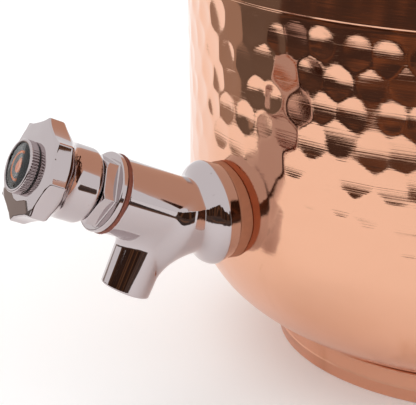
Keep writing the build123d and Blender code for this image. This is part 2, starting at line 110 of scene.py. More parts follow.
# %% [markdown]
# ## Writing shaders as expressions
# A node tree is a formula in boxes. `Flow` wraps one socket so that the formula can be written
# as Python, and `Recipe` adds any other node from its type, its settings and its inputs.

# %% Wrap a socket
class Flow:
    """A number that runs through a material's nodes."""

    def __init__(self, recipe, socket):
        self.recipe = recipe
        self.socket = socket

    def math(self, operation, first, second=None):
        inputs = {0: first} if second is None else {0: first, 1: second}
        return self.recipe.add("ShaderNodeMath", {"operation": operation}, inputs)

    def __add__(self, other):
        return self.math("ADD", self, other)

    def __sub__(self, other):
        return self.math("SUBTRACT", self, other)

    def __rsub__(self, other):
        return self.math("SUBTRACT", other, self)

    def __mul__(self, other):
        return self.math("MULTIPLY", self, other)

    def clamped(self):
        """The value held between 0 and 1."""
        return self.recipe.add("ShaderNodeClamp", {}, {"Value": self})

    def between(self, low, high):
        """0 below low, 1 above high, and a smooth step in the middle."""
        settings = {"interpolation_type": "SMOOTHSTEP"}
        inputs = {"Value": self, "From Min": low, "From Max": high}
        return self.recipe.add("ShaderNodeMapRange", settings, inputs)

    __radd__ = __add__
    __rmul__ = __mul__


# %% Build a material step by step
class Recipe:
    """One material: its nodes, and the Principled shader at its end."""

    def __init__(self, name):
        self.material = bpy.data.materials.new(name)
        self.material.use_nodes = True
        self.tree = self.material.node_tree
        self.shader = self.tree.nodes["Principled BSDF"]

    def add(self, kind, settings=None, inputs=None, output=0):
        """Any node: its type, its settings, then the values or links of its sockets."""
        node = self.tree.nodes.new(kind)
        for name, value in (settings or {}).items():
            if name == "stops":
                self.fill_ramp(node.color_ramp, value)
            else:
                setattr(node, name, value)
        for name, value in (inputs or {}).items():
            self.feed(node.inputs[name], value)
        return Flow(self, node.outputs[output])

    def fill_ramp(self, ramp, stops):
        while len(ramp.elements) < len(stops):
            ramp.elements.new(1.0)
        for element, (place, colour) in zip(ramp.elements, stops):
            element.position = place
            element.color = (*colour, 1.0)

    def feed(self, socket, value):
        if isinstance(value, Flow):
            self.tree.links.new(value.socket, socket)
        elif hasattr(value, "__len__") and len(value) == 3 and socket.type == "RGBA":
            socket.default_value = (*value, 1.0)
        else:
            socket.default_value = value

    def spots(self, stretch, detail=2.0, roughness=0.5, shift=(0.0, 0.0, 0.0)):
        """Noise whose cells are 1/stretch metres long on each axis, moved aside by shift cells."""
        place = self.add("ShaderNodeTexCoord", output="Object")
        cells = self.add("ShaderNodeVectorMath", {"operation": "MULTIPLY"}, {0: place, 1: stretch})
        moved = self.add("ShaderNodeVectorMath", {"operation": "ADD"}, {0: cells, 1: shift})
        inputs = {"Vector": moved, "Scale": 1.0, "Detail": detail, "Roughness": roughness}
        return self.add("ShaderNodeTexNoise", {}, inputs)

    def height(self):
        """How far up the pot a point lies, in metres."""
        place = self.add("ShaderNodeTexCoord", output="Object")
        return self.add("ShaderNodeSeparateXYZ", {}, {"Vector": place}, output="Z")

    def blend(self, share, first, second):
        """Colour mix: first where share is 0, second where it is 1."""
        settings = {"data_type": "RGBA"}
        return self.add("ShaderNodeMix", settings, {"Factor": share, 6: first, 7: second}, output=2)

    def bump(self, relief, depth, under=None):
        """Normal from a relief whose full swing is depth metres."""
        inputs = {"Height": relief, "Distance": depth, "Strength": 1.0}
        if under is not None:
            inputs["Normal"] = under
        return self.add("ShaderNodeBump", {}, inputs)

    def serve(self, **sockets):
        """Sets the shader's sockets and returns the finished material."""
        for name, value in sockets.items():
            self.feed(self.shader.inputs[name.replace("_", " ")], value)
        return self.material


print("shader helpers ready")

# %% [markdown]
# ## Copper
# Polished copper shows three things up close: rings left by the polishing wheel while the pot
# turned on the lathe, clouds of slightly browner metal where fingers and water have been, and
# a polish that fades towards the foot, which the wheel hardly reaches. The rings are a relief
# stretched flat, so a reflection's edge breaks into short level streaks. Their height, like the
# height of every relief below, is in metres.

# %% Mix the copper
BRIGHT_COPPER = (0.80, 0.435, 0.29)
BROWN_COPPER = (0.60, 0.25, 0.12)
RING_RELIEF = 2.2e-5
GRIT_RELIEF = 1.5e-6


def copper(name, bright, brown, gloss, dull, dull_below, rings=RING_RELIEF, stain=0.25):
    """Copper whose polish fades from gloss to dull below a height given in metres."""
    recipe = Recipe(name)
    clouds = recipe.spots((14.0, 14.0, 22.0), detail=4.0)
    drips = recipe.spots((60.0, 60.0, 12.0), detail=3.0, shift=(3.0, 1.0, 7.0))
    specks = recipe.spots((420.0, 420.0, 420.0), detail=2.0)
    low = 1.0 - recipe.height().between(dull_below * 0.35, dull_below)
    soiled = (clouds.between(0.50, 0.85) * 0.6 + drips.between(0.55, 0.8) * low) * stain
    dotted = specks.between(0.72, 0.80) * low * 0.5
    colour = recipe.blend((soiled + dotted).clamped(), bright, brown)
    turned = recipe.spots((9.0, 9.0, 1500.0), detail=3.0, roughness=0.6)
    grit = recipe.spots((2600.0, 2600.0, 2600.0), detail=1.0)
    relief = recipe.bump(turned, rings)
    relief = recipe.bump(grit, GRIT_RELIEF, relief)
    polish = low * (dull - gloss) + clouds.between(0.45, 0.8) * 0.05 + gloss
    return recipe.serve(Base_Color=colour, Metallic=1.0, Roughness=polish, Normal=relief)


hammered_copper = copper("hammered_copper", BRIGHT_COPPER, BROWN_COPPER, 0.055, 0.24, 0.075, stain=0.5)
turned_copper = copper("turned_copper", BRIGHT_COPPER, BROWN_COPPER, 0.09, 0.12, 0.05)
SATIN_COPPER = (0.78, 0.415, 0.28)
SATIN_STAIN = (0.52, 0.22, 0.105)
matte_copper = copper("matte_copper", SATIN_COPPER, SATIN_STAIN, 0.22, 0.34, 0.02, stain=0.45)
print("copper: hammered, turned and matte")

# %% [markdown]
# ## Chrome, brass and steel
# Chrome plate is thin, so the casting's polishing waves and a few pits stay visible under it.
# Machined brass and plain steel carry fine tool marks and are duller.

# %% Mix the plated and machined metals
PLATE = (0.53, 0.465, 0.47)
PIT = (0.20, 0.15, 0.14)
WAVE_RELIEF = 2.5e-5
SCRATCH_RELIEF = 1.2e-6


def chrome():
    recipe = Recipe("chrome_plate")
    waves = recipe.spots((90.0, 90.0, 90.0), detail=1.0)
    pits = recipe.spots((700.0, 700.0, 700.0), detail=1.0)
    haze = recipe.spots((45.0, 45.0, 45.0), detail=4.0, shift=(5.0, 2.0, 9.0))
    scratches = recipe.spots((2200.0, 160.0, 160.0), detail=2.0)
    pitted = pits.between(0.80, 0.84)
    colour = recipe.blend(pitted, PLATE, PIT)
    relief = recipe.bump(waves, WAVE_RELIEF)
    relief = recipe.bump(scratches, SCRATCH_RELIEF, relief)
    polish = haze.between(0.45, 0.75) * 0.05 + pitted * 0.3 + 0.045
    return recipe.serve(Base_Color=colour, Metallic=1.0, Roughness=polish, Normal=relief)


def machined(name, bright, dark, polish, marks=3e-6):
    """Metal straight from the lathe: tool marks, small stains and a soft shine."""
    recipe = Recipe(name)
    stains = recipe.spots((160.0, 160.0, 160.0), detail=4.0)
    tool = recipe.spots((2400.0, 2400.0, 900.0), detail=2.0)
    colour = recipe.blend(stains.between(0.45, 0.8), bright, dark)
    shine = stains.between(0.3, 0.8) * 0.15 + polish
    return recipe.serve(Base_Color=colour, Metallic=1.0, Roughness=shine, Normal=recipe.bump(tool, marks))


chrome_plate = chrome()
plain_brass = machined("plain_brass", (0.78, 0.58, 0.28), (0.50, 0.33, 0.13), 0.25)
knob_brass = machined("knob_brass", (0.86, 0.63, 0.30), (0.70, 0.46, 0.20), 0.10, 1.5e-6)
steel = machined("steel", (0.62, 0.62, 0.63), (0.40, 0.38, 0.36), 0.28)
print("chrome, brass and steel")

# %% [markdown]
# ## Rubber, fibre, enamel and glass
# The wall gasket is brown rubber that has swollen and scuffed. The washer under the bonnet is
# pressed fibre, which is dry and a little hairy. The badge is glossy black enamel with an orange
# mark under a clear cover.

# %% Mix the soft and clear materials
def rubber(name, fresh, worn, polish=0.55, relief=6e-5):
    recipe = Recipe(name)
    scuffs = recipe.spots((260.0, 260.0, 260.0), detail=5.0, roughness=0.6)
    pores = recipe.spots((1500.0, 1500.0, 1500.0), detail=2.0)
    colour = recipe.blend(scuffs.between(0.35, 0.7), fresh, worn)
    shine = scuffs.between(0.3, 0.7) * 0.2 + polish
    skin = recipe.bump(scuffs * 0.7 + pores * 0.3, relief)
    return recipe.serve(Base_Color=colour, Roughness=shine, Normal=skin)


def fibre():
    recipe = Recipe("red_fibre")
    threads = recipe.spots((500.0, 3000.0, 900.0), detail=3.0)
    damp = recipe.spots((120.0, 120.0, 120.0), detail=3.0)
    colour = recipe.blend(threads.between(0.3, 0.75), (0.15, 0.030, 0.016), (0.25, 0.065, 0.032))
    shine = 0.75 - damp.between(0.4, 0.7) * 0.3
    return recipe.serve(Base_Color=colour, Roughness=shine, Normal=recipe.bump(threads, 8e-5))


def enamel(name, colour_a, colour_b):
    recipe = Recipe(name)
    flow = recipe.spots((300.0, 300.0, 300.0), detail=2.0)
    colour = recipe.blend(flow.between(0.3, 0.7), colour_a, colour_b)
    shine = flow.between(0.4, 0.8) * 0.06 + 0.06
    return recipe.serve(Base_Color=colour, Roughness=shine, Normal=recipe.bump(flow, 6e-6))


def clear_cover():
    recipe = Recipe("badge_lens")
    wipes = recipe.spots((900.0, 120.0, 300.0), detail=3.0)
    shine = wipes.between(0.55, 0.8) * 0.05 + 0.01
    return recipe.serve(Base_Color=(1.0, 1.0, 1.0), Roughness=shine, Transmission_Weight=1.0, IOR=1.3)


brown_rubber = rubber("brown_rubber", (0.36, 0.125, 0.06), (0.41, 0.15, 0.075), 0.6, 2e-5)
black_rubber = rubber("black_rubber", (0.012, 0.012, 0.012), (0.035, 0.033, 0.032), 0.45)
clear_silicone = rubber("clear_silicone", (0.72, 0.70, 0.66), (0.82, 0.81, 0.78), 0.35)
red_fibre = fibre()
badge_black = enamel("badge_enamel", (0.010, 0.008, 0.008), (0.022, 0.018, 0.016))
badge_orange = enamel("badge_orange", (0.85, 0.20, 0.02), (0.72, 0.15, 0.015))
badge_glass = clear_cover()
print("rubber, fibre, enamel and clear cover")

# %% [markdown]
# ## From points to objects
# Most pieces here are round, so they start as a flat outline that is turned about an axis, the
# way the spinner's lathe does it. `spin` needs only the outline. `finish_piece` gives any mesh
# its material and its body, and hides the CAD node it stands for.

# %% Turn outlines into pieces
def finish_piece(name, points, faces, material, body, normals=None, crisp=38.0):
    """Makes a smooth-shaded object from points in millimetres and joins it to its body."""
    mesh = bpy.data.meshes.new(name)
    mesh.from_pydata(np.asarray(points) * MM, [], faces)
    mesh.shade_smooth()
    if normals is None:
        mesh.set_sharp_from_angle(angle=math.radians(crisp))
    else:
        mesh.normals_split_custom_set_from_vertices(normals)
    mesh.materials.append(material)
    piece = bpy.data.objects.new(name, mesh)
    bpy.context.scene.collection.objects.link(piece)
    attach(piece, body)
    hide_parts(name.removesuffix("_skin"))
    print(f"{name}: {len(points)} points, {len(faces)} faces")
    return piece


def arc(centre, radius, start, end, steps=12):
    """Points (r, z) on an arc from start to end degrees."""
    turn = np.radians(np.linspace(start, end, steps + 1))
    return [(centre[0] + radius * math.cos(t), centre[1] + radius * math.sin(t)) for t in turn]


def rounded(*corners, steps=5):
    """Closed outline through (r, z, radius) corners, each one rounded to its radius."""
    outline = []
    for index, (r, z, radius) in enumerate(corners):
        here = np.array((r, z))
        back = np.array(corners[index - 1][:2]) - here
        ahead = np.array(corners[(index + 1) % len(corners)][:2]) - here
        if radius == 0:
            outline.append((r, z))
            continue
        back_unit, ahead_unit = back / np.linalg.norm(back), ahead / np.linalg.norm(ahead)
        half = math.acos(np.clip(back_unit @ ahead_unit, -1, 1)) / 2
        reach = radius / math.tan(half)
        start, end = here + back_unit * reach, here + ahead_unit * reach
        bisector = back_unit + ahead_unit
        middle = here + bisector / np.linalg.norm(bisector) * radius / math.sin(half)
        for share in np.linspace(0, 1, steps + 1):
            spoke = start - middle + (end - start) * share
            outline.append(tuple(middle + spoke / np.linalg.norm(spoke) * radius))
    return outline


def spin(outline, segments=256, wobble=None):
    """Points and faces of a closed outline turned about its axis, with one pole on the axis."""
    outline = np.array(outline, float)
    turn = 2 * math.pi * np.arange(segments) / segments
    points, rows = [], []
    for r, z in outline:
        if r < 1e-6:
            rows.append([len(points)] * segments)
            points.append((0.0, 0.0, z))
            continue
        radii = r + (wobble(turn, r, z) if wobble else 0 * turn)
        rows.append(range(len(points), len(points) + segments))
        points.extend(zip(radii * np.cos(turn), radii * np.sin(turn), np.full(segments, z)))
    faces = []
    for low, high in zip(rows, rows[1:] + rows[:1]):
        for a in range(segments):
            b = (a + 1) % segments
            corners = list(dict.fromkeys((low[a], low[b], high[b], high[a])))
            if len(corners) > 2:
                faces.append(corners)
    return np.array(points), faces


def turned_piece(name, board, outline, material, body, segments=256, wobble=None, crisp=38.0):
    """Spins an outline on a board and finishes it as a piece."""
    points, faces = spin(outline, segments, wobble)
    return finish_piece(name, board.place(points), faces, material, body, crisp=crisp)


print("lathe ready")

# %% [markdown]
# ## Foot, shoulder, neck and lid
# These are plain spinnings: sheet pressed over a form, trimmed, and rolled or folded at the free
# edges. Each outline goes up the outside and comes back down the inside, one sheet thickness
# away, so the edge that shows has its true thickness.

# %% Spin the foot ring
FOOT_R = 72.0
HEM = 2.6
HEM_H = 3.6
CREASE_R = extent("foot_ring")[1][0] - 0.6


OUT_OF_ROUND = 0.1


def hand_spun(turn, r, z):
    """A slow out-of-round of up to a tenth of a millimetre, as hand spinning leaves it."""
    return 0.06 * np.sin(3 * turn + 0.11 * z) + 0.04 * np.sin(7 * turn + 1.0)


foot_outline = (
    rounded(
        (FOOT_R - HEM, HEM_H, 0.6), (FOOT_R - HEM, 0, 1.2), (FOOT_R, 0, 1.3), (FOOT_R + 0.55, 4.6, 0)
    )[:-1]
    + arc((FOOT_R + 0.1, 4.9), 0.45, -50, 50, 4)
    + [(FOOT_R + 0.3, 5.6), (FOOT_R + 0.9, 10.4)]
    + arc((CREASE_R - 0.15, CREASE_Z - 0.7), 0.7, -40, 88, 6)
    + [(CREASE_R - SHEET, CREASE_Z), (CREASE_R - SHEET - 0.6, 4.2)]
)
turned_piece("foot_ring_skin", POT, foot_outline, matte_copper, "pot", 360, hand_spun)

# %% Spin the shoulder
SHOULDER_ARC = 36.0
SHOULDER_TURN = 70.0
SEAM_R = 1.4
NECK_ARC = 10.0
MOUTH_R = 62.0
ROLL_R = 2.0
NECK_H = 14.0
NECK_R = MOUTH_R + SHEET
slope = math.radians(90 - SHOULDER_TURN)
meet_outer = (
    NECK_R + NECK_ARC * (1 - math.sin(slope)),
    RIM_Z - NECK_H - NECK_ARC * math.cos(slope),
)
meet_inner = (meet_outer[0] - SHEET * math.sin(slope), meet_outer[1] - SHEET * math.cos(slope))
shoulder_centre = (BAND_R - SHOULDER_ARC, BODY_TOP)
shoulder_outline = (
    arc((BAND_R - OUT_OF_ROUND, BODY_TOP + SEAM_R), SEAM_R, -90, 88, 12)
    + arc(shoulder_centre, SHOULDER_ARC, 6, SHOULDER_TURN, 20)
    + [meet_outer, meet_inner]
    + arc(shoulder_centre, SHOULDER_ARC - SHEET, SHOULDER_TURN, 0, 20)
)
turned_piece("shoulder_shell_skin", POT, shoulder_outline, turned_copper, "pot", 360, hand_spun)

# %% Roll the rim of the neck
neck_centre = (NECK_R + NECK_ARC, RIM_Z - NECK_H)
roll_centre = (MOUTH_R + ROLL_R, RIM_Z - ROLL_R)
neck_outline = (
    [meet_outer]
    + arc(neck_centre, NECK_ARC, 180 + SHOULDER_TURN, 180, 12)[1:]
    + arc(roll_centre, ROLL_R, -112, 180, 24)
    + arc(neck_centre, NECK_ARC + SHEET, 180, 180 + SHOULDER_TURN, 12)
)
turned_piece("neck_collar_skin", POT, neck_outline, turned_copper, "pot", 320, hand_spun)

# %% Spin the lid
LID_R = 68.6
DOME_R = 59.5
LIP = 3.0
SCREW_HOLE_R = 2.75
BRIM_EDGE_R = 1.5
dome_height = DOME_TOP - BRIM_TOP
dome_arc = (DOME_R**2 + dome_height**2) / (2 * dome_height)
dome_half = math.degrees(math.asin(DOME_R / dome_arc))
dome_centre = (0, DOME_TOP - dome_arc)
screw_gap = math.degrees(math.asin(SCREW_HOLE_R / dome_arc))
lid_outline = (
    arc((LID_R - 0.5, BRIM_TOP - LIP + 0.5), 0.5, -90, 0, 4)
    + arc((LID_R - BRIM_EDGE_R, BRIM_TOP - BRIM_EDGE_R), BRIM_EDGE_R, 0, 90, 6)
    + [(DOME_R + 1.2, BRIM_TOP), (DOME_R, BRIM_TOP + 0.1)]
    + arc(dome_centre, dome_arc, 90 - dome_half + 0.8, 90 - screw_gap, 40)
    + arc(dome_centre, dome_arc - LID_SHEET, 90 - screw_gap, 90 - dome_half + 0.8, 40)
    + [(DOME_R + 0.8, BRIM_TOP - LID_SHEET), (LID_R - BRIM_EDGE_R, BRIM_TOP - LID_SHEET)]
    + arc((LID_R - BRIM_EDGE_R, BRIM_TOP - BRIM_EDGE_R), BRIM_EDGE_R - LID_SHEET, 90, 0, 4)
    + [(LID_R - LID_SHEET, BRIM_TOP - LIP)]
)
turned_piece("lid_shell_skin", POT, lid_outline, turned_copper, "lid", 320, hand_spun)
plug_low, plug_high = extent("lid_plug_ring")
plug_outline = rounded(
    (plug_high[0] - LID_SHEET, plug_low[2], 0.4),
    (plug_high[0], plug_low[2], 0.4),
    (plug_high[0], plug_high[2], 0.1),
    (plug_high[0] - LID_SHEET, plug_high[2], 0.1),
)
turned_piece("lid_plug_ring_skin", POT, plug_outline, turned_copper, "lid", 256)

# %% Turn the lid's knob
def swing(start, start_pull, end_pull, end, steps=14):
    """Smooth curve from start to end, pulled by two handles."""
    t = np.linspace(0, 1, steps + 1)[:, None]
    back = 1 - t
    hull = np.array([start, start_pull, end_pull, end], float)
    curve = back**3 * hull[0] + 3 * back**2 * t * hull[1] + 3 * back * t**2 * hull[2] + t**3 * hull[3]
    return [tuple(point) for point in curve]


KNOB_BORE = 2.53
KNOB_FOOT_R = 9.0
WAIST_R = 4.8
BALL_R = 10.2
knob_top = extent("lid_knob")[1][2]
lid_knob_outline = (
    [(KNOB_BORE, DOME_TOP - 0.1), (KNOB_FOOT_R, DOME_TOP - 0.7), (KNOB_FOOT_R, DOME_TOP + 0.6)]
    + arc((8.4, DOME_TOP + 0.6), 0.6, 0, 80, 4)
    + swing(
        (8.2, DOME_TOP + 1.25), (6.6, DOME_TOP + 1.7), (WAIST_R, DOME_TOP + 3.6), (WAIST_R, DOME_TOP + 6.0)
    )
    + swing(
        (WAIST_R, DOME_TOP + 6.0),
        (4.9, DOME_TOP + 8.6),
        (BALL_R, DOME_TOP + 10.4),
        (BALL_R, DOME_TOP + 14.0),
    )[1:]
    + swing((BALL_R, DOME_TOP + 14.0), (BALL_R, DOME_TOP + 18.2), (6.0, knob_top), (0.0, knob_top), 18)[1:]
    + [(0.0, DOME_TOP + 12.0), (KNOB_BORE, DOME_TOP + 11.5)]
)
turned_piece("lid_knob_skin", POT, lid_knob_outline, knob_brass, "lid", 128)

# %% [markdown]
# ## The hammered wall
# The wall is one sheet from the bottom disc to the shoulder seam. The smith strikes it in rows
# with a round-faced punch, and each blow leaves a shallow dish. The rows are struck while the pot
# turns, so blows sit about a centimetre apart, overlap, and are a little out of line. Towards
# the belly the blows get lighter and their edges crisper, and then they stop. Dents that only
# live in a bump map can't bend the outline or the inner face, so each blow moves the mesh itself.

# %% Draw the wall's outline
BELLY_R = 108.2
BELLY_Z = 58.5
WALL_ARC = 1200.0
LINE_Z = 138.0
LINE_ZONE = 1.2
HAMMER_LOW = 24.0
BOTTOM_R = 73.3
bowl_arc = BELLY_Z - CREASE_Z
bowl_centre = (BELLY_R - bowl_arc, BELLY_Z)
bowl_start = 2 * math.degrees(math.atan2(BOTTOM_R - bowl_centre[0], bowl_arc)) - 90
wall_rise = math.degrees(math.asin((LINE_Z - BELLY_Z) / WALL_ARC))
wall_line = (
    [(0.0, CREASE_Z), (BOTTOM_R - 3, CREASE_Z)]
    + arc((BOTTOM_R - 3.0, CREASE_Z + 6), 6.0, -90, -64, 6)
    + arc(bowl_centre, bowl_arc, bowl_start, 0, 60)
    + arc((BELLY_R + WALL_ARC, BELLY_Z), WALL_ARC, 180, 180 - wall_rise, 40)[1:]
    + [(BAND_R, BODY_TOP)]
)
wall_line = np.array(wall_line)


def row_step(z, along):
    """Row spacing in millimetres: fine where the hammer has been and at the scribed line."""
    if abs(z - LINE_Z) < LINE_ZONE:
        return 0.3
    if HAMMER_LOW < z < LINE_Z:
        return 0.75
    return 1.8 if along > BOTTOM_R else 6.0


lengths = np.concatenate([[0], np.cumsum(np.hypot(*np.diff(wall_line, axis=0).T))])
stops = [0.0]
while stops[-1] < lengths[-1]:
    stops.append(stops[-1] + row_step(np.interp(stops[-1], lengths, wall_line[:, 1]), stops[-1]))
stops = np.array(stops[1:-1] + [lengths[-1]])
row_r = np.interp(stops, lengths, wall_line[:, 0])
row_z = np.interp(stops, lengths, wall_line[:, 1])
row_lean = np.arctan2(np.gradient(row_r, stops), np.gradient(row_z, stops))
print(f"wall: {len(stops)} rows over {lengths[-1]:.0f} mm of sheet")

# %% Strike the rows of dents
COLUMNS = 900
BLOWS_PER_ROW = 66
ROW_PITCH = 10.1
TOP_ROW = 130.5
ROWS = 11
JITTER = 1.9
DENT_R = 5.7
DENT_DEPTH = 0.40
CRISP_EDGE, SOFT_EDGE = 0.05, 0.27
REACH = 1.4
SPARSE_BELOW = 66.0
SKIPPED_SHARE = 0.45
TAP_CLEARANCE = 19.0
chance = np.random.default_rng(7)
column_turn = 2 * math.pi * np.arange(COLUMNS) / COLUMNS
dish = np.zeros((len(stops), COLUMNS))


def strike(turn, z, radius, depth, edge):
    """One blow: a dish with a slightly softened rim, added where it is deeper than what is there."""
    near_rows = np.where(np.abs(row_z - z) < REACH * radius + 1)[0]
    side = row_z > CREASE_Z + 1
    girth = np.interp(z, row_z[side], row_r[side])
    width = int(REACH * radius / (girth * 2 * math.pi / COLUMNS)) + 1
    middle = int(round(turn / (2 * math.pi) * COLUMNS))
    near_columns = np.arange(middle - width, middle + width + 1)
    across = (near_columns * 2 * math.pi / COLUMNS - turn) * girth
    centre = np.interp(z, row_z[side], stops[side])
    up = stops[near_rows] - centre
    bowl = 1 - (across[None, :] ** 2 + up[:, None] ** 2) / radius**2
    blow = depth * 0.5 * (bowl + np.sqrt(bowl**2 + edge**2))
    window = np.ix_(near_rows, near_columns % COLUMNS)
    dish[window] = np.maximum(dish[window], blow)


for row in range(ROWS):
    height = TOP_ROW - ROW_PITCH * row
    lightness = np.interp(height, [30, 62, 82, 102], [0.12, 0.22, 0.40, 1.0])
    size = np.interp(height, [50, 85], [0.76, 1.0])
    edge = np.interp(height, [80, 100], [CRISP_EDGE, SOFT_EDGE])
    for blow in range(BLOWS_PER_ROW):
        turn = 2 * math.pi * (blow + 0.5 * (row % 2)) / BLOWS_PER_ROW
        turn += chance.normal(0, JITTER * 0.6) / BAND_R
        z = height + chance.normal(0, JITTER * 0.6)
        radius = DENT_R * size * chance.uniform(0.82, 1.1)
        depth = DENT_DEPTH * lightness * chance.uniform(0.5, 1.2)
        skipped = height < SPARSE_BELOW and chance.random() < SKIPPED_SHARE
        from_tap = math.hypot(BAND_R * math.cos(turn), z - TAP_Z)
        under_tap = from_tap < TAP_CLEARANCE and math.sin(turn) < 0
        if not skipped and not under_tap:
            strike(turn, z, radius, depth, edge)
print(f"dents: {ROWS} rows of {BLOWS_PER_ROW}, deepest {dish.max():.2f} mm")

# %% [markdown]
# Planishing also leaves the whole wall slightly wavy. Fourteen slow waves, of a few hundredths
# of a millimetre each, make reflections wander without being seen as dents. The scribed line is
# a narrow groove turned where the plain band starts. The whole sheet is drawn in by INSET, so
# that the waves stay inside the CAD wall.

# %% Add slow waves and the scribed line
WAVES = 14
GROOVE_DEPTH = 0.14
GROOVE_WIDTH = 0.34
INSET = 0.035
sway = np.zeros_like(dish)
for wave in range(WAVES):
    around = chance.integers(2, 22)
    climb = chance.uniform(-1, 1) * 2 * math.pi / 40
    sway += chance.uniform(0.01, 0.035) * np.cos(
        around * column_turn[None, :] + climb * stops[:, None] + chance.uniform(0, 2 * math.pi)
    )
sway *= np.interp(row_z, [CREASE_Z, 30, 160, BODY_TOP], [0, 1, 1, 0])[:, None]
groove = GROOVE_DEPTH * np.exp(-(((row_z - LINE_Z) / GROOVE_WIDTH) ** 2))
inward = dish - sway + groove[:, None] + INSET
sheet_r = row_r[:, None] - inward * np.cos(row_lean)[:, None]
sheet_z = row_z[:, None] + inward * np.sin(row_lean)[:, None]
inner_r = sheet_r - SHEET * np.cos(row_lean)[:, None]
inner_z = sheet_z + SHEET * np.sin(row_lean)[:, None]
print("waves and scribed line added")

# %% [markdown]
# The two faces of the sheet are grids with the same columns and rows. The tap's hole is cut by
# dropping the grid squares inside it; the points round the gap are then moved onto the circle,
# and a strip joins the outer face to the inner one, as it does at the top edge.

# %% Cut the tap's hole and close the sheet
HOLE_R = 10.7


def to_points(radius, height):
    turn = column_turn[None, :] + 0 * radius
    return np.stack([radius * np.cos(turn), radius * np.sin(turn), height], axis=-1).reshape(-1, 3)


def near_hole(points):
    return (np.hypot(points[:, 0], points[:, 2] - TAP_Z) < HOLE_R) & (points[:, 1] < 0)


outer_points = to_points(sheet_r, sheet_z)
inner_points = to_points(inner_r, inner_z)
count = len(outer_points)
grid = np.arange(count).reshape(dish.shape)
beside = np.roll(grid, -1, 1)
quads = np.stack([grid[:-1], beside[:-1], beside[1:], grid[1:]], axis=-1).reshape(-1, 4)
inside = near_hole(outer_points[quads].mean(axis=1))
kept, dropped = quads[~inside], quads[inside]
lip = np.intersect1d(kept.ravel(), dropped.ravel())
for points in (outer_points, inner_points):
    spoke = points[lip][:, [0, 2]] - (0, TAP_Z)
    points[lip[:, None], [0, 2]] = (0, TAP_Z) + spoke / np.linalg.norm(spoke, axis=1)[:, None] * HOLE_R
kept_edges = {(a, b) for quad in kept.tolist() for a, b in zip(quad, quad[1:] + quad[:1])}
hole_edges = [
    (a, b) for quad in dropped.tolist() for a, b in zip(quad, quad[1:] + quad[:1]) if (b, a) in kept_edges
]
poles = [outer_points[:COLUMNS].mean(axis=0) * (0, 0, 1), inner_points[:COLUMNS].mean(axis=0) * (0, 0, 1)]
top = grid[-1]
wall_points = np.concatenate([outer_points, inner_points, poles])
around = np.roll(np.arange(COLUMNS), -1)
wall_faces = (
    kept.tolist()
    + (kept[:, ::-1] + count).tolist()
    + [(a, b, b + count, a + count) for a, b in hole_edges]
    + np.stack([top, top[around], top[around] + count, top + count], axis=-1).tolist()
    + [(2 * count, int(around[i]), i) for i in range(COLUMNS)]
    + [(2 * count + 1, count + i, count + int(around[i])) for i in range(COLUMNS)]
)
finish_piece("pot_body_skin", wall_points, wall_faces, hammered_copper, "pot", crisp=60.0)

# %% [markdown]
# ## Casting in distance fields
# A cast part has no sharp inner corners: wherever two shapes meet there is a fillet. Fillets are
# hard work on a mesh and one line on a distance field, where each shape is a formula for how far
# a point is from its surface. `cast` samples such a formula on a grid, meshes its zero surface
# with OpenVDB, then walks every vertex onto the surface and takes its normal from the formula,
# so mirror-bright plating stays smooth.

# %% Helpers for distance fields
def joined(a, b, fillet):
    """Union of two shapes with a round fillet between them."""
    inner = np.hypot(np.maximum(fillet - a, 0), np.maximum(fillet - b, 0))
    return np.maximum(fillet, np.minimum(a, b)) - inner


def cut(a, b, edge):
    """What two shapes share, with the edge between them rounded."""
    return np.minimum(-edge, np.maximum(a, b)) + np.hypot(np.maximum(edge + a, 0), np.maximum(edge + b, 0))


def rod(radial, along, radius, low, high):
    """Plain round bar or bore from low to high along its axis."""
    return np.maximum(radial - radius, np.maximum(low - along, along - high))


def downhill(field, points, step=0.02):
    """Gradient of a field at points."""
    slope = np.empty_like(points)
    for axis in range(3):
        shift = np.zeros(3)
        shift[axis] = step
        ahead, behind = (points + shift).T, (points - shift).T
        slope[:, axis] = (field(*ahead) - field(*behind)) / (2 * step)
    return slope


def cast(name, board, field, low, high, voxel, material, body):
    """Meshes a field given in a board's own millimetres and places it in the pot's frame."""
    low = np.array(low, float) - 2 * voxel
    counts = np.ceil((np.array(high) + 2 * voxel - low) / voxel).astype(int) + 1
    xs, ys, zs = (low[axis] + voxel * np.arange(counts[axis]) for axis in range(3))
    layer_y, layer_z = np.meshgrid(ys, zs, indexing="ij")
    values = np.stack([field(np.full_like(layer_y, x), layer_y, layer_z) for x in xs])
    volume = openvdb.FloatGrid()
    volume.copyFromArray(values.astype(np.float32))
    points, quads = volume.convertToQuads()
    points = low + voxel * points.astype(float)
    for _ in range(4):
        slope = downhill(field, points)
        steep = np.maximum((slope**2).sum(axis=1), 0.2)
        points -= slope * (np.clip(field(*points.T), -voxel, voxel) / steep)[:, None]
    slope = downhill(field, points)
    normals = slope / np.maximum(np.linalg.norm(slope, axis=1), 1e-9)[:, None]
    first, second, third = (points[quads[:, corner]] for corner in (0, 1, 2))
    facing = (np.cross(second - first, third - first) * normals[quads[:, 0]]).sum(axis=1)
    if np.median(facing) < 0:
        quads = quads[:, ::-1]
    placed_normals = normals @ board.axes
    return finish_piece(name, board.place(points), quads.tolist(), material, body, placed_normals)


print("casting helpers ready")

# %% [markdown]
# ## The tap's body
# One brass casting: a threaded tail that goes through the wall, a bell flange, an elbow of 24
# degrees, the barrel and the spout. The crotch behind the spout is filled with a far larger
# radius than the front one, which is what makes the tap look cast and not assembled. The bores
# are cut the way a machinist cuts them: inlet, valve chamber, head thread and outlet.

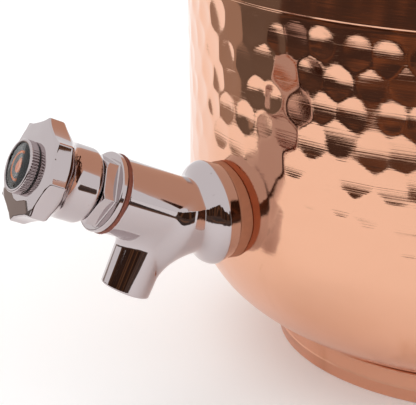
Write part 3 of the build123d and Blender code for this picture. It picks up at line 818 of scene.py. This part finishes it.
# %% Write the body's formula
BARREL_R = 12.8
BARREL_END = 28.4
ELBOW_ARC = 26.0
FLANGE_EDGE_R = 17.8
CONE_START_R = 16.4
CONE_LENGTH = 4.4
BULGE_R = 5.2
TAIL_R = 10.48
TAIL_END = -extent("tap_body")[1][1]
THREAD_PITCH = 1.814
THREAD_DEPTH = 0.95
SPOUT_AT = 9.95
SPOUT_LENGTH = 29.3
SPOUT_TOP_R = 9.3
SPOUT_TIP_R = 8.5
BORE_R = 6.0
INLET_END = 121.0
SEAT_R, SEAT_FACE = 6.6, 5.0
CHAMBER_R, CHAMBER_START, CHAMBER_END = 9.3, 3.5, 19.5
ORIFICE_R, ORIFICE_START = 5.0, -4.0
HEAD_BORE_R, HEAD_BORE_START = 10.5, 18.5
FRONT_FILLET = 3.2
CROTCH_FILLET = 7.5
tilt = math.radians(TILT)


def pipe_thread(radial, around, along):
    """Tail with a true helical pipe thread that runs out before the flange."""
    place = along / THREAD_PITCH + around / (2 * math.pi)
    valley = 1 - 2 * np.abs(place - np.floor(place) - 0.5)
    depth = THREAD_DEPTH * np.clip((FLANGE_BACK - 3.5 - along) / 2, 0, 1)
    tail = (radial - TAIL_R + depth * np.clip(valley * 1.3 - 0.15, 0, 1)) * 0.7
    return np.maximum(cut(tail, TAIL_END - along, 0.4), along - FLANGE_BACK - 1)


def tap_casting(x, up, out):
    radial = np.hypot(x, up)
    station = (out - BEND) * math.cos(tilt) + up * math.sin(tilt)
    down = (out - BEND) * math.sin(tilt) - up * math.cos(tilt)
    bend_start = BEND - ELBOW_ARC * math.tan(tilt / 2)
    turned = np.arctan2(out - bend_start, ELBOW_ARC - up)
    bent = np.abs(np.hypot(out - bend_start, ELBOW_ARC - up) - ELBOW_ARC)
    beside = np.where(turned < 0, np.abs(up), np.where(turned > tilt, np.abs(down), bent))
    pipe = cut(np.hypot(x, beside) - BARREL_R, station - BARREL_END, 0.4)
    pipe = np.maximum(pipe, FLANGE_BACK + 1 - out)
    lean = (FLANGE_EDGE_R - CONE_START_R) / CONE_LENGTH
    cone = (radial - CONE_START_R - lean * (out - FLANGE_BACK)) * 0.95
    centre_out = FLANGE_BACK + CONE_LENGTH - 0.8
    bulge = np.hypot(out - centre_out, np.maximum(radial - FLANGE_EDGE_R + BULGE_R - 0.1, 0)) - BULGE_R
    bell = cut(cut(cone, bulge, 0.2), FLANGE_BACK - out, 0.2)
    body = joined(bell, pipe, FRONT_FILLET)
    across = np.hypot(x, station - SPOUT_AT)
    spout = across - SPOUT_TOP_R + (SPOUT_TOP_R - SPOUT_TIP_R) / SPOUT_LENGTH * down
    spout = np.maximum(cut(spout, down - SPOUT_LENGTH, 0.7), -down)
    rear = np.clip((SPOUT_AT + 1 - station) / 9, 0, 1)
    body = joined(body, spout, FRONT_FILLET + CROTCH_FILLET * rear * rear * (3 - 2 * rear))
    body = np.minimum(body, pipe_thread(radial, np.arctan2(up, x), out))
    ahead = np.hypot(x, down)
    inlet = np.hypot(radial, np.maximum(out - INLET_END, 0)) - BORE_R
    seat = np.maximum(ahead - SEAT_R, station - SEAT_FACE)
    chamber = np.maximum(rod(ahead, station, CHAMBER_R, CHAMBER_START, CHAMBER_END), -seat)
    orifice = rod(ahead, station, ORIFICE_R, ORIFICE_START, SEAT_FACE + 0.5)
    head_bore = rod(ahead, station, HEAD_BORE_R, HEAD_BORE_START, BARREL_END + 2)
    mouth = BORE_R + np.clip(down - SPOUT_LENGTH + 0.8, 0, 2)
    outlet = np.maximum(across - mouth, 6.7 - down)
    hollow = np.minimum(np.minimum(np.minimum(inlet, chamber), np.minimum(orifice, head_bore)), outlet)
    return cut(body, -hollow, 0.25)


# %% Cast the body
tap_reach = BEND + BARREL_END * math.cos(tilt) + BARREL_R * math.sin(tilt)
cast(
    "tap_body_skin",
    OUTWARD,
    tap_casting,
    (-FLANGE_EDGE_R, -33.0, TAIL_END),
    (FLANGE_EDGE_R, 26.0, tap_reach),
    0.3,
    chrome_plate,
    "pot",
)

# %% [markdown]
# ## Bonnet and knob
# The bonnet screws into the barrel over a fibre washer and has a hexagon for the spanner. The
# knob is a star of eight points: eight hollow scallops are ground into a disc, so neighbouring
# scallops meet in a ridge. Its face falls away from the ring in eight very shallow flats, and
# behind the points the metal sweeps back into a round sleeve. Its bores are given as radius,
# start and end along the axis.

# %% Cast the bonnet
BONNET_FLANGE = 30.0
HEX_HALF = 10.5
HEX_END = 37.2
COLLAR_END = 45.0
COLLAR_R = 8.5
GUIDE_HALF = 6.25
JOURNAL_R = 5.0
SHANK_R = 10.45


def bonnet_casting(x, y, along):
    radial = np.hypot(x, y)
    flange = cut(radial - 13.4, np.abs(along - BONNET_FLANGE - 1.15) - 1.15, 0.55)
    flats = np.max([np.abs(x * math.cos(a) + y * math.sin(a)) for a in np.radians((30, 90, 150))], axis=0)
    bevel = (radial - 10.9 + (along - HEX_END) * 1.7) * 0.5
    nut = cut(flats - HEX_HALF, np.maximum(along - HEX_END, BONNET_FLANGE - along), 0.25)
    nut = np.maximum(nut, bevel)
    collar = cut(radial - COLLAR_R, np.maximum(along - COLLAR_END, BONNET_FLANGE - along), 0.4)
    shank = rod(radial, along, SHANK_R, 19.0, BONNET_FLANGE + 1)
    body = np.minimum(np.minimum(joined(flange, nut, 0.5), joined(nut, collar, 0.6)), shank)
    guide = np.maximum(flats - GUIDE_HALF, np.maximum(18.0 - along, along - 33.0))
    journal = rod(radial, along, JOURNAL_R, 32.5, COLLAR_END + 1)
    return cut(body, -np.minimum(guide, journal), 0.15)


cast(
    "headwork_bonnet_skin",
    HEAD,
    bonnet_casting,
    (-13.5, -13.5, 19),
    (13.5, 13.5, 45),
    0.26,
    chrome_plate,
    "pot",
)

# %% Cast the knob
LOBES = 8
POINT_R = 17.6
VALLEY_R = 15.3
SLEEVE_R = 12.5
SLEEVE_START = 37.7
LOBE_BACK = 50.6
REAR_LEAN = 0.42
REAR_GRADIENT = 0.92
FACE = 59.6
FACET_FALL = 0.17
FACE_R = 10.4
CAVITY = (9.3, 30.0, 47.0)
SOCKET = (4.03, 46.5, 55.6)
SCREW_HOLE = (2.2, 55.0, 57.0)
SCREW_HEAD = (4.4, 56.0, 58.0)
CAP_SEAT = (7.55, 57.0, 62.0)
KNOB_BORES = (CAVITY, SOCKET, SCREW_HOLE, SCREW_HEAD, CAP_SEAT)
half_lobe = math.pi / LOBES
sagitta = POINT_R * math.cos(half_lobe) - VALLEY_R
scallop_r = ((POINT_R * math.sin(half_lobe)) ** 2 + sagitta**2) / (2 * sagitta)
scallop_at = VALLEY_R + scallop_r


def knob_casting(x, y, along):
    radial = np.hypot(x, y)
    around = np.arctan2(y, x) % (2 * half_lobe)
    folded = np.abs(around - half_lobe)
    ahead, aside = radial * np.cos(folded), radial * np.sin(folded)
    own = scallop_r - np.hypot(ahead - scallop_at, aside)
    turned_x, turned_y = scallop_at * math.cos(2 * half_lobe), scallop_at * math.sin(2 * half_lobe)
    next_one = scallop_r - np.hypot(ahead - turned_x, aside - turned_y)
    star = cut(own, next_one, 0.55)
    facet = (along - FACE + FACET_FALL * (ahead - FACE_R)) * 0.98
    next_ahead = radial * np.cos(2 * half_lobe - folded)
    next_facet = (along - FACE + FACET_FALL * (next_ahead - FACE_R)) * 0.98
    face = cut(cut(facet, next_facet, 0.25), along - FACE, 0.1)
    rear = LOBE_BACK - along - REAR_LEAN * (SLEEVE_R - radial)
    head = cut(cut(star, face, 0.5), rear * REAR_GRADIENT, 1.2)
    sleeve = cut(radial - SLEEVE_R, SLEEVE_START - along, 2.6)
    sleeve = np.maximum(sleeve, along - 56.0)
    body = joined(head, sleeve, 3.8)
    hollow = np.min([rod(radial, along, *bore) for bore in KNOB_BORES], axis=0)
    return cut(body, -hollow, 0.2)


cast(
    "tap_knob_skin",
    HEAD,
    knob_casting,
    (-17.6, -17.6, 37.7),
    (17.6, 17.6, 59.7),
    0.24,
    chrome_plate,
    "handle",
)

# %% [markdown]
# ## Knurled ring, badge and cover
# The ring is knurled so that fingers can unscrew it. Its teeth are cut along the axis and fade
# out before the polished front edge. The badge behind the cover is black enamel. Its mark is a
# plain ring round a water drop, raised by a few hundredths of a millimetre like real cloisonne.

# %% Knurl the cap ring
CAP_R = 8.7
TEETH = 54
TOOTH_DEPTH = 0.38
cap_back, cap_front = 60.2, 62.95
STEPS_PER_TOOTH = 8
cap_profile = (
    [(6.2, 57.0), (7.45, 57.0), (7.5, 59.85), (8.35, 59.85)]
    + arc((8.3, cap_back + 0.05), 0.4, -60, 0, 3)
    + [(CAP_R, z) for z in np.linspace(cap_back + 0.5, cap_front - 0.75, 6)]
    + arc((CAP_R - 0.5, cap_front - 0.5), 0.5, 0, 90, 6)
    + [(7.9, cap_front), (7.6, cap_front - 0.15), (7.53, 61.5), (6.2, 61.5)]
)


def knurl(turn, r, z):
    """V-shaped teeth on the ring's outer wall only."""
    if r < CAP_R - 0.45 or z > cap_front - 0.3:
        return 0 * turn
    fade = np.interp(z, [cap_front - 0.8, cap_front - 0.35], [1, 0])
    return -TOOTH_DEPTH * fade * (1 - np.abs(np.sin(turn * TEETH / 2)) ** 0.8)


turned_piece(
    "cap_ring_skin", HEAD, cap_profile, chrome_plate, "handle", TEETH * STEPS_PER_TOOTH, knurl, crisp=50.0
)

# %% Lay the badge and its mark
BADGE_R = 7.5
BADGE_FACE = 62.1
BADGE_BACK = 61.5
badge_outline = rounded(
    (0.0, BADGE_BACK, 0), (BADGE_R, BADGE_BACK, 0.1), (BADGE_R, BADGE_FACE, 0.2), (0.0, BADGE_FACE, 0)
)
disc_points, disc_faces = spin(badge_outline, 128)
MARK_RISE = 0.05
mark_ring = rounded(
    (4.1, BADGE_FACE - 0.1, 0), (4.9, BADGE_FACE - 0.1, 0), (4.9, BADGE_FACE + MARK_RISE, 0.04),
    (4.1, BADGE_FACE + MARK_RISE, 0.04),
)
ring_points, ring_faces = spin(mark_ring, 96)


def drop_outline(steps=40):
    """A water drop: a circle below that draws out to a point above."""
    turn = np.linspace(0, 2 * math.pi, steps, endpoint=False)
    width = 2.1 * np.sin(turn) * np.abs(np.sin(turn / 2)) ** 0.9
    return np.stack([width, 2.55 * np.cos(turn) + 0.35], axis=1)


def plate(outline, low, high):
    """Flat plate from a closed outline, as points and faces."""
    size = len(outline)
    ring = np.arange(size)
    points = np.concatenate([np.c_[outline, np.full(size, low)], np.c_[outline, np.full(size, high)]])
    middle = outline.mean(axis=0)
    points = np.concatenate([points, [(*middle, low), (*middle, high)]])
    ahead = np.roll(ring, -1)
    walls = np.stack([ring, ahead, ahead + size, ring + size], axis=1).tolist()
    bottom = [(2 * size, int(b), int(a)) for a, b in zip(ring, ahead)]
    lid = [(2 * size + 1, int(a) + size, int(b) + size) for a, b in zip(ring, ahead)]
    return points, walls + bottom + lid


drop_points, drop_faces = plate(drop_outline()[::-1], BADGE_FACE - 0.1, BADGE_FACE + MARK_RISE)
badge_points = np.concatenate([disc_points, ring_points, drop_points])
badge_faces = list(disc_faces)
drop_start = len(disc_points) + len(ring_points)
for faces, offset in ((ring_faces, len(disc_points)), (drop_faces, drop_start)):
    badge_faces += [[index + offset for index in face] for face in faces]
badge = finish_piece("badge_disc_skin", HEAD.place(badge_points), badge_faces, badge_black, "handle")
badge.data.materials.append(badge_orange)
for polygon in badge.data.polygons[len(disc_faces):]:
    polygon.material_index = 1

# %% Cover the badge
COVER_CURVE = 60.0
COVER_TOP = 62.95
COVER_R = 7.45
half_angle = math.degrees(math.asin(7.4 / COVER_CURVE))
cover_outline = (
    [(0.0, 62.2), (7.3, 62.2), (COVER_R, 62.3), (COVER_R, 62.5)]
    + arc((0, COVER_TOP - COVER_CURVE), COVER_CURVE, 90 - half_angle, 90, 10)[:-1]
    + [(0.0, COVER_TOP)]
)
turned_piece("badge_lens_skin", HEAD, cover_outline, badge_glass, "handle", 128)

# %% [markdown]
# ## Gasket and washer
# The gasket is squeezed between the flat flange and the round wall, so it is thin above and
# below and thick at its sides, and the rubber bulges out unevenly. The fibre washer under the
# bonnet stands a little proud of the barrel and is never quite round.

# %% Press the wall gasket
GASKET_R = 16.5
GASKET_BORE_R = 10.9
side_r, side_z = row_r[row_z > 30], row_z[row_z > 30]


def gasket_press(x, up, out):
    radial, around = np.hypot(x, up), np.arctan2(up, x)
    wall_r = np.interp(TAP_Z + up, side_z, side_r)
    behind = np.hypot(x, out) - wall_r
    toward_wall = np.clip((FLANGE_BACK - out) / 4, 0, 1)
    uneven = 0.22 * np.sin(3 * around + 0.6) + 0.12 * np.sin(7 * around + 2.0)
    swell = GASKET_R + uneven * 0.7 + 0.15 * toward_wall
    body = cut(radial - swell, out - FLANGE_BACK, 0.5)
    body = cut(body, -behind, 0.15)
    return cut(body, GASKET_BORE_R - radial, 0.2)


cast(
    "outer_gasket_skin",
    OUTWARD,
    gasket_press,
    (-17.8, -17.8, 105.5),
    (17.8, 17.8, 111.3),
    0.28,
    brown_rubber,
    "pot",
)

# %% Press the fibre washer
WASHER_R, WASHER_BORE_R = 13.45, 10.55
WASHER_BACK, WASHER_FRONT = 28.45, 29.95
washer_outline = rounded(
    (WASHER_BORE_R, WASHER_BACK, 0.1),
    (WASHER_R, WASHER_BACK, 0.35),
    (WASHER_R, WASHER_FRONT, 0.35),
    (WASHER_BORE_R, WASHER_FRONT, 0.1),
)


def frayed(turn, r, z):
    """Outer edge a little out of round and hairy."""
    hairs = 0.05 * np.sin(17 * turn + 3 * z) + 0.03 * np.sin(41 * turn)
    return (r > 12) * (0.07 * np.sin(5 * turn) + hairs)


turned_piece("head_washer_skin", HEAD, washer_outline, red_fibre, "pot", 256, frayed)

# %% [markdown]
# ## Pieces that stay as drawn
# Nuts, spindle, clip and valve sit inside the tap or the pot. Their CAD shapes are already true,
# so they only need their finishes.

# %% Finish the inner pieces
INNER_FINISHES = {
    plain_brass: ("tail_washer", "back_nut", "headwork_spindle", "valve_carriage", "valve_nut"),
    steel: ("lid_knob_washer", "lid_knob_screw", "spindle_clip", "knob_screw"),
    black_rubber: ("spindle_orings", "valve_washer", "cap_oring"),
    clear_silicone: ("inner_gasket",),
}
for finish, names in INNER_FINISHES.items():
    for name in names:
        for material_slot in nodes[name].material_slots:
            material_slot.material = finish
print("inner pieces:", sum(len(names) for names in INNER_FINISHES.values()))

# %% [markdown]
# ## Floor, light and dark cards
# A mirror-bright pot is lit by what stands round it. The pot stands on a white sheet about half
# a metre across. Beyond it, to the right and behind, the studio is dark, and that dark horizon
# draws the black streaks on the chrome and the brown bands on the copper. Towards the tap's front
# it is grey and low. The dark floor and walls are cards that only reflections see, so the
# picture's own background stays pale.

# %% Lay the floor and the world
def emitter(name, colour, strength=1.0):
    glow = {"Emission_Color": colour, "Emission_Strength": strength}
    return Recipe(name).serve(Base_Color=(0.0, 0.0, 0.0), Roughness=1.0, **glow)


def staged(name, points, faces, material):
    mesh = bpy.data.meshes.new(name)
    mesh.from_pydata(points, [], faces)
    mesh.materials.append(material)
    thing = bpy.data.objects.new(name, mesh)
    bpy.context.scene.collection.objects.link(thing)
    return thing


FLOOR = 6.0
paper = Recipe("paper").serve(
    Base_Color=(0.90, 0.90, 0.90), Roughness=0.9, Emission_Color=(1.0, 1.0, 1.0), Emission_Strength=0.17
)
corners = [(-FLOOR, -FLOOR, 0), (FLOOR, -FLOOR, 0), (FLOOR, FLOOR, 0), (-FLOOR, FLOOR, 0)]
staged("floor", corners, [(0, 1, 2, 3)], paper)
world = bpy.data.worlds.new("studio")
world.use_nodes = True
world.node_tree.nodes["Background"].inputs["Color"].default_value = (1.0, 1.0, 1.0, 1.0)
world.node_tree.nodes["Background"].inputs["Strength"].default_value = 0.95
bpy.context.scene.world = world

# %% Hang one soft lamp
lamp = bpy.data.objects.new("soft_lamp", bpy.data.lights.new("soft_lamp", "AREA"))
lamp.data.shape = "DISK"
lamp.data.size = 1.4
lamp.data.energy = 4.5
lamp.location = (-0.5, -0.7, 1.7)
lamp.rotation_euler = (Vector((0, 0, 0.1)) - lamp.location).to_track_quat("-Z", "Y").to_euler()
lamp.visible_glossy = False
bpy.context.scene.collection.objects.link(lamp)

# %% Stand the dark cards round the white sheet
SHEET_CENTRE = (-0.02, -0.11)
SHEET_R = 0.28
WALL_AT = 1.6
CARD_STEP = 3
CARD_LIFT = 0.002
LOW_WALL = 0.1


def horizon_height(turn):
    """How high the dark studio stands in each direction, in metres."""
    return 0.46 + 0.07 * math.sin(turn / 11.0) + 0.05 * math.sin(turn / 4.3 + 1.0)


def card(name, start, end, material, wall=1.0):
    """A dark floor beyond the white sheet and the wall behind it, from start to end degrees."""
    turns = np.arange(start, end + CARD_STEP, CARD_STEP)
    points, faces = [], []
    for turn in turns:
        c, s = math.cos(math.radians(turn)), math.sin(math.radians(turn))
        edge = SHEET_R + 0.012 * math.sin(turn / 5.0) + 0.006 * math.sin(turn / 1.7)
        points.append((SHEET_CENTRE[0] + edge * c, SHEET_CENTRE[1] + edge * s, CARD_LIFT))
        points.append((WALL_AT * c, WALL_AT * s, CARD_LIFT))
        points.append((WALL_AT * c, WALL_AT * s, wall * horizon_height(turn)))
    for index in range(len(turns) - 1):
        a, b = 3 * index, 3 * index + 3
        faces += [(a, a + 1, b + 1, b), (a + 1, a + 2, b + 2, b + 1)]
    thing = staged(name, points, faces, material)
    thing.visible_camera = False
    thing.visible_diffuse = False
    thing.visible_shadow = False
    thing.visible_transmission = False
    return thing


def dark_room():
    """Dark brown studio with lighter uprights, as seen by a reflection."""
    recipe = Recipe("dark_room")
    uprights = recipe.spots((6.0, 6.0, 0.8), detail=3.0, roughness=0.6)
    colour = recipe.blend(uprights.between(0.48, 0.68), (0.030, 0.012, 0.006), (0.20, 0.085, 0.035))
    glow = {"Emission_Color": colour, "Emission_Strength": 1.0}
    return recipe.serve(Base_Color=(0.0, 0.0, 0.0), Roughness=1.0, **glow)


room = dark_room()
card("card_dark", -114, 24, room)
card("card_back", 72, 126, room)
card("card_dim", -138, -114, emitter("card_dim", (0.12, 0.10, 0.085)), LOW_WALL)
card("card_grey", -156, -138, emitter("card_grey", (0.34, 0.28, 0.24)), LOW_WALL)
print("floor, lamp and cards in place")

# %% [markdown]
# ## Camera
# The view looks down a little from the tap's right, close up, so that the tap is sharp and the
# pot runs out of the picture above and to the right. Colours go to the screen unchanged, since
# a filmic curve would grey the white sheet.

# %% Place the camera
camera = bpy.data.objects.new("camera", bpy.data.cameras.new("camera"))
camera.data.lens = 119.6
camera.data.sensor_width = 36.0
camera.data.sensor_fit = "HORIZONTAL"
camera.data.clip_start = 0.01
turn = Matrix.Rotation(math.radians(61.5), 4, "Z")
lean = Matrix.Rotation(math.radians(70.8), 4, "X")
roll = Matrix.Rotation(math.radians(1.1), 4, "Z")
camera.matrix_world = Matrix.Translation((0.3873, -0.3253, 0.2218)) @ turn @ lean @ roll
bpy.context.scene.collection.objects.link(camera)
bpy.context.scene.camera = camera
bpy.context.scene.view_settings.view_transform = "Standard"

# %% [markdown]
# ## Finish the scene
# The visible skins have to stay inside the CAD model's box.

# %% Update the view layer
bpy.context.view_layer.update()
